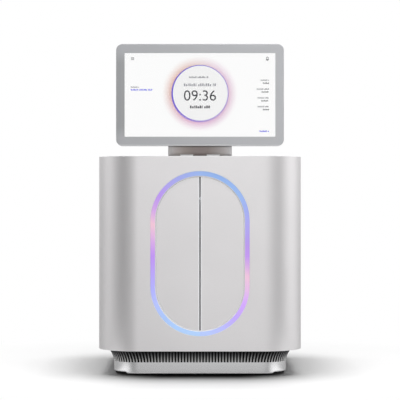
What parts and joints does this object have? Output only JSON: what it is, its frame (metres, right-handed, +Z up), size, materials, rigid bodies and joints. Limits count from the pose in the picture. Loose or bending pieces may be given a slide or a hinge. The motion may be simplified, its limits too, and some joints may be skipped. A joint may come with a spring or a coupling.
{
  "type": "benchtop sequencer",
  "caption": "Benchtop sequencer cabinet with a stadium light ring round two doors, a reagent bay, a vented plinth and a tilting monitor.",
  "frame": {"origin": "bottom centre of the whole box, on the surface that the feet stand on", "axes": "+X right, -Y front, +Z up"},
  "size_m": [0.4, 0.43, 0.648],
  "materials": {
    "cabinet_silver": "satin silver",
    "rear_grey": "fine texture",
    "plinth_silver": "satin",
    "grille_grey": "satin",
    "chassis_zinc": "zinc plated",
    "foot_rubber": "matte",
    "fastener_steel": "machined",
    "ring_light": "lit diffuser",
    "board_green": "solder mask",
    "housing_dark": "matte",
    "liner_grey": "fine texture",
    "arm_metal": "powder coated zinc casting",
    "monitor_grey": "satin",
    "monitor_back_grey": "fine texture",
    "screen_glass": "clear",
    "screen_picture": "lit picture",
    "yoke_grey": "satin warm grey",
    "hinge_silver": "satin",
    "bay_white": "smooth",
    "lamp_white": "lit diffuser",
    "tray_blue": "smooth",
    "rail_steel": "ground",
    "optic_black": "anodised",
    "objective_steel": "satin",
    "clamp_brass": "satin",
    "motor_black": "matte",
    "pump_grey": "matte",
    "syringe_glass": "clear",
    "fluid_white": "smooth",
    "port_metal": "satin"
  },
  "bodies": {
    "root": {"front_shell": "cabinet_silver", "left_side_panel": "cabinet_silver", "right_side_panel": "cabinet_silver", "rear_panel": "rear_grey", "top_cover": "cabinet_silver", "plinth": "plinth_silver", "intake_grille": "grille_grey", "base_plate": "chassis_zinc", "rubber_feet": "foot_rubber", "chassis_frame": "chassis_zinc", "case_screws": "fastener_steel", "ring_lens": "ring_light", "ring_led_board": "board_green", "ring_housing": "housing_dark", "hinge_lugs": "arm_metal", "hinge_pins": "fastener_steel", "door_magnets": "fastener_steel", "hinge_base": "hinge_silver", "bay_bezel": "housing_dark", "bay_liner": "bay_white", "bay_lamp": "lamp_white", "tray_rails": "rail_steel", "optics_base": "chassis_zinc", "camera_module": "optic_black", "light_engine": "optic_black", "stage_rails": "rail_steel", "drive_motors": "motor_black", "syringe_pump": "pump_grey", "syringe_barrel": "syringe_glass", "fluid_tubing": "syringe_glass", "main_board": "board_green", "power_supply": "chassis_zinc", "fan_housings": "motor_black", "power_inlet": "motor_black", "io_ports": "port_metal"},
    "monitor": {"monitor_bezel": "monitor_grey", "monitor_glass": "screen_glass", "display_panel": "screen_picture", "monitor_back": "monitor_back_grey", "monitor_board": "board_green", "monitor_yoke": "yoke_grey", "hinge_shaft": "fastener_steel"},
    "left_door": {"left_door_skin": "cabinet_silver", "left_door_liner": "liner_grey", "left_door_arms": "arm_metal"},
    "right_door": {"right_door_skin": "cabinet_silver", "right_door_liner": "liner_grey", "right_door_arms": "arm_metal"},
    "tray": {"cartridge_tray": "tray_blue"},
    "tray_drive": {"tray_screw": "fastener_steel"},
    "stage": {"stage_carriage": "optic_black", "flow_cell_clamp": "clamp_brass"},
    "stage_drive": {"stage_screw": "fastener_steel"},
    "focus": {"objective": "objective_steel"},
    "plunger": {"syringe_plunger": "fluid_white"},
    "valve": {"valve_rotor": "fluid_white"},
    "left_rotor": {"left_fan": "motor_black"},
    "right_rotor": {"right_fan": "motor_black"},
    "rocker": {"rocker_switch": "motor_black"}
  },
  "joints": [
    {"name": "monitor_tilt", "type": "hinge", "parent": "root", "child": "monitor", "pos_m": [0, -0.1645, 0.441], "axis": [-1, 0, 0], "range_deg": [-5, 90]},
    {"name": "left_door_swing", "type": "hinge", "parent": "root", "child": "left_door", "pos_m": [-0.104, -0.208, 0.2395], "axis": [0, 0, -1], "range_deg": [0, 105]},
    {"name": "right_door_swing", "type": "hinge", "parent": "root", "child": "right_door", "pos_m": [0.104, -0.208, 0.2395], "axis": [0, 0, 1], "range_deg": [0, 105]},
    {"name": "tray_slide", "type": "slide", "parent": "root", "child": "tray", "axis": [0, -1, 0], "range_m": [0, 0.05]},
    {"name": "tray_screw_turn", "type": "hinge", "parent": "root", "child": "tray_drive", "pos_m": [0, -0.193, 0.146], "axis": [0, -1, 0], "range_deg": [0, 1800]},
    {"name": "stage_slide", "type": "slide", "parent": "root", "child": "stage", "axis": [0, -1, 0], "range_m": [0, 0.04]},
    {"name": "stage_screw_turn", "type": "hinge", "parent": "root", "child": "stage_drive", "pos_m": [0, -0.193, 0.248], "axis": [0, -1, 0], "range_deg": [0, 1440]},
    {"name": "objective_focus", "type": "slide", "parent": "root", "child": "focus", "axis": [0, 0, 1], "range_m": [-0.003, 0.003]},
    {"name": "plunger_stroke", "type": "slide", "parent": "root", "child": "plunger", "axis": [0, 0, 1], "range_m": [0, 0.045]},
    {"name": "valve_turn", "type": "hinge", "parent": "root", "child": "valve", "pos_m": [-0.152, -0.074, 0.3155], "axis": [0, -1, 0], "continuous": true},
    {"name": "left_fan_spin", "type": "hinge", "parent": "root", "child": "left_rotor", "pos_m": [-0.052, 0.189, 0.333], "axis": [0, 1, 0], "continuous": true},
    {"name": "right_fan_spin", "type": "hinge", "parent": "root", "child": "right_rotor", "pos_m": [0.052, 0.189, 0.333], "axis": [0, 1, 0], "continuous": true},
    {"name": "rocker_tip", "type": "hinge", "parent": "root", "child": "rocker", "pos_m": [0.056, 0.206, 0.089], "axis": [1, 0, 0], "range_deg": [0, 16]}
  ],
  "couplings": [
    {"joint": "tray_screw_turn", "follows": "tray_slide", "rad_per_m": 628.32},
    {"joint": "stage_screw_turn", "follows": "stage_slide", "rad_per_m": 628.32}
  ]
}
